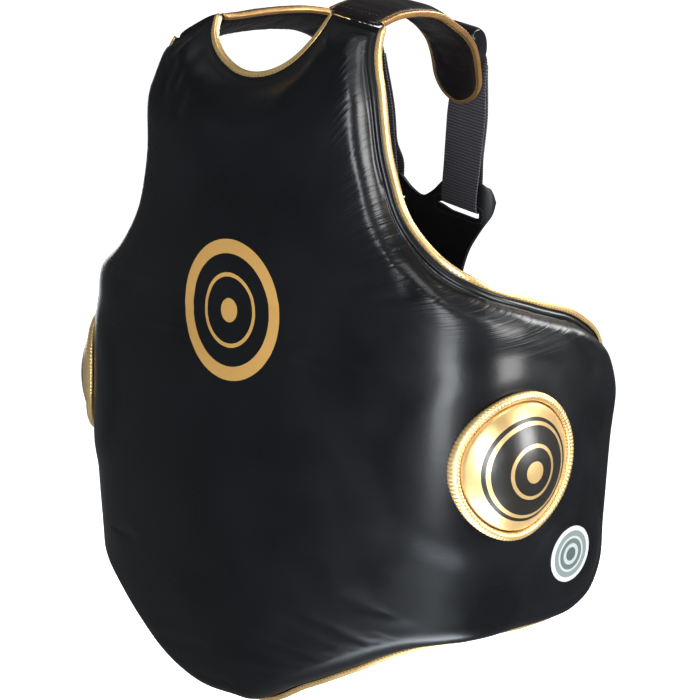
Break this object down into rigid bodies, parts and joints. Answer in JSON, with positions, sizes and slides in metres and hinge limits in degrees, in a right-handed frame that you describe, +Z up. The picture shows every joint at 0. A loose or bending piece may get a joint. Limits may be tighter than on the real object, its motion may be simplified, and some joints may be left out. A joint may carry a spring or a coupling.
{
  "type": "belly pad",
  "caption": "Padded leather belly guard for a boxing coach: a hollow shell for chest, belly and ribs with gold bound edges, shoulder straps, a slotted back yoke, a belt and round target pads.",
  "frame": {"origin": "midway between the shoulder straps, level with their undersides, where the pad sits on the wearer's shoulders", "axes": "+Z up, the front of the pad faces -Y, +X towards the wearer's left"},
  "size_m": [0.5352, 0.2778, 0.6392],
  "materials": {
    "black_leather": "smooth semi-gloss",
    "gold_leather": "metallic semi-gloss",
    "black_webbing": "matt woven nylon",
    "white_label": "satin print film"
  },
  "bodies": {
    "root": {"front_pad": "black_leather", "neck_binding": "gold_leather", "edge_binding": "gold_leather", "shoulder_strap_left": "black_leather", "shoulder_strap_right": "black_leather", "strap_binding_left": "gold_leather", "strap_binding_right": "gold_leather", "strap_loop_left": "black_leather", "strap_loop_right": "black_leather", "webbing_left": "black_webbing", "webbing_right": "black_webbing", "back_yoke": "black_leather", "back_belt": "black_leather", "side_pad_left": "gold_leather", "side_pad_right": "gold_leather", "side_pad_piping_left": "gold_leather", "side_pad_piping_right": "gold_leather", "round_label": "white_label"}
  },
  "joints": []
}
